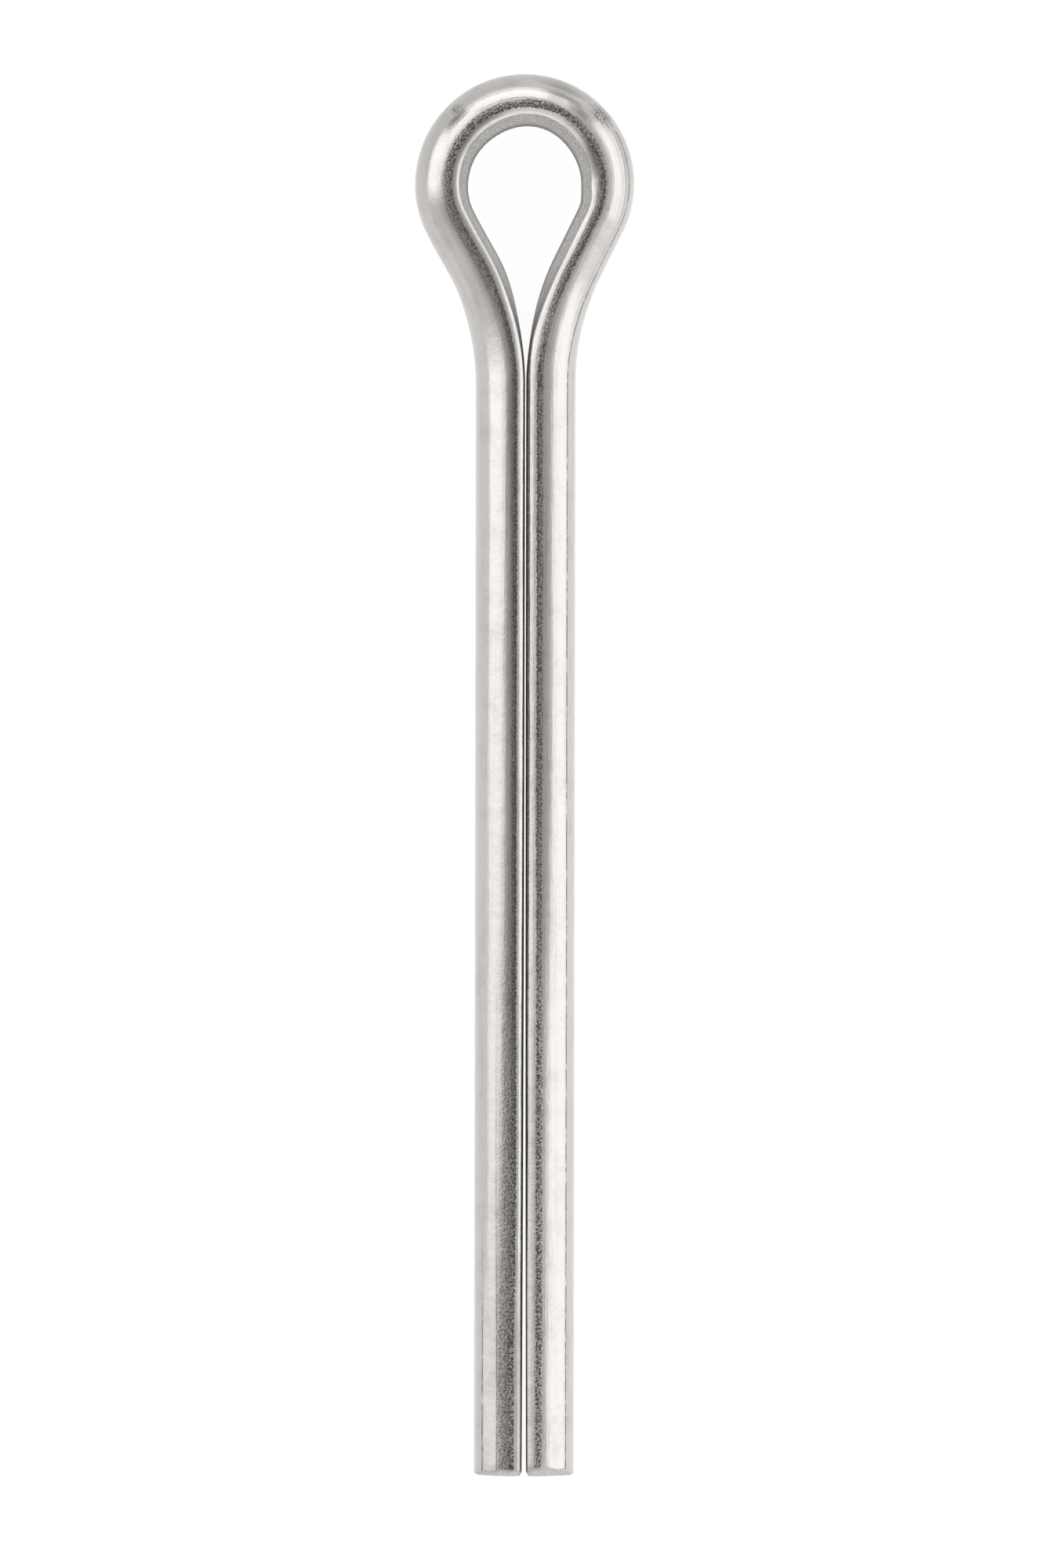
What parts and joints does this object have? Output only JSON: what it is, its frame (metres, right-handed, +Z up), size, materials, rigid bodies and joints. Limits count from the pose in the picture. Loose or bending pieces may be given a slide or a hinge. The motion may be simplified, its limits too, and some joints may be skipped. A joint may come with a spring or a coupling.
{
  "type": "cotter pin",
  "caption": "Split cotter pin of half-round steel wire, with a round eye at one end and straight legs that lie together as a round shank.",
  "frame": {"origin": "on the axis of the round shank, where the straight legs begin below the neck of the eye", "axes": "the pin lies flat: +Y runs along the shank towards the eye, X runs across the eye, and +Z is up, square to the plane of the eye"},
  "size_m": [0.0098, 0.0623, 0.0042],
  "materials": {
    "bright_steel": "satin"
  },
  "bodies": {
    "root": {"cotter_pin": "bright_steel"}
  },
  "joints": []
}
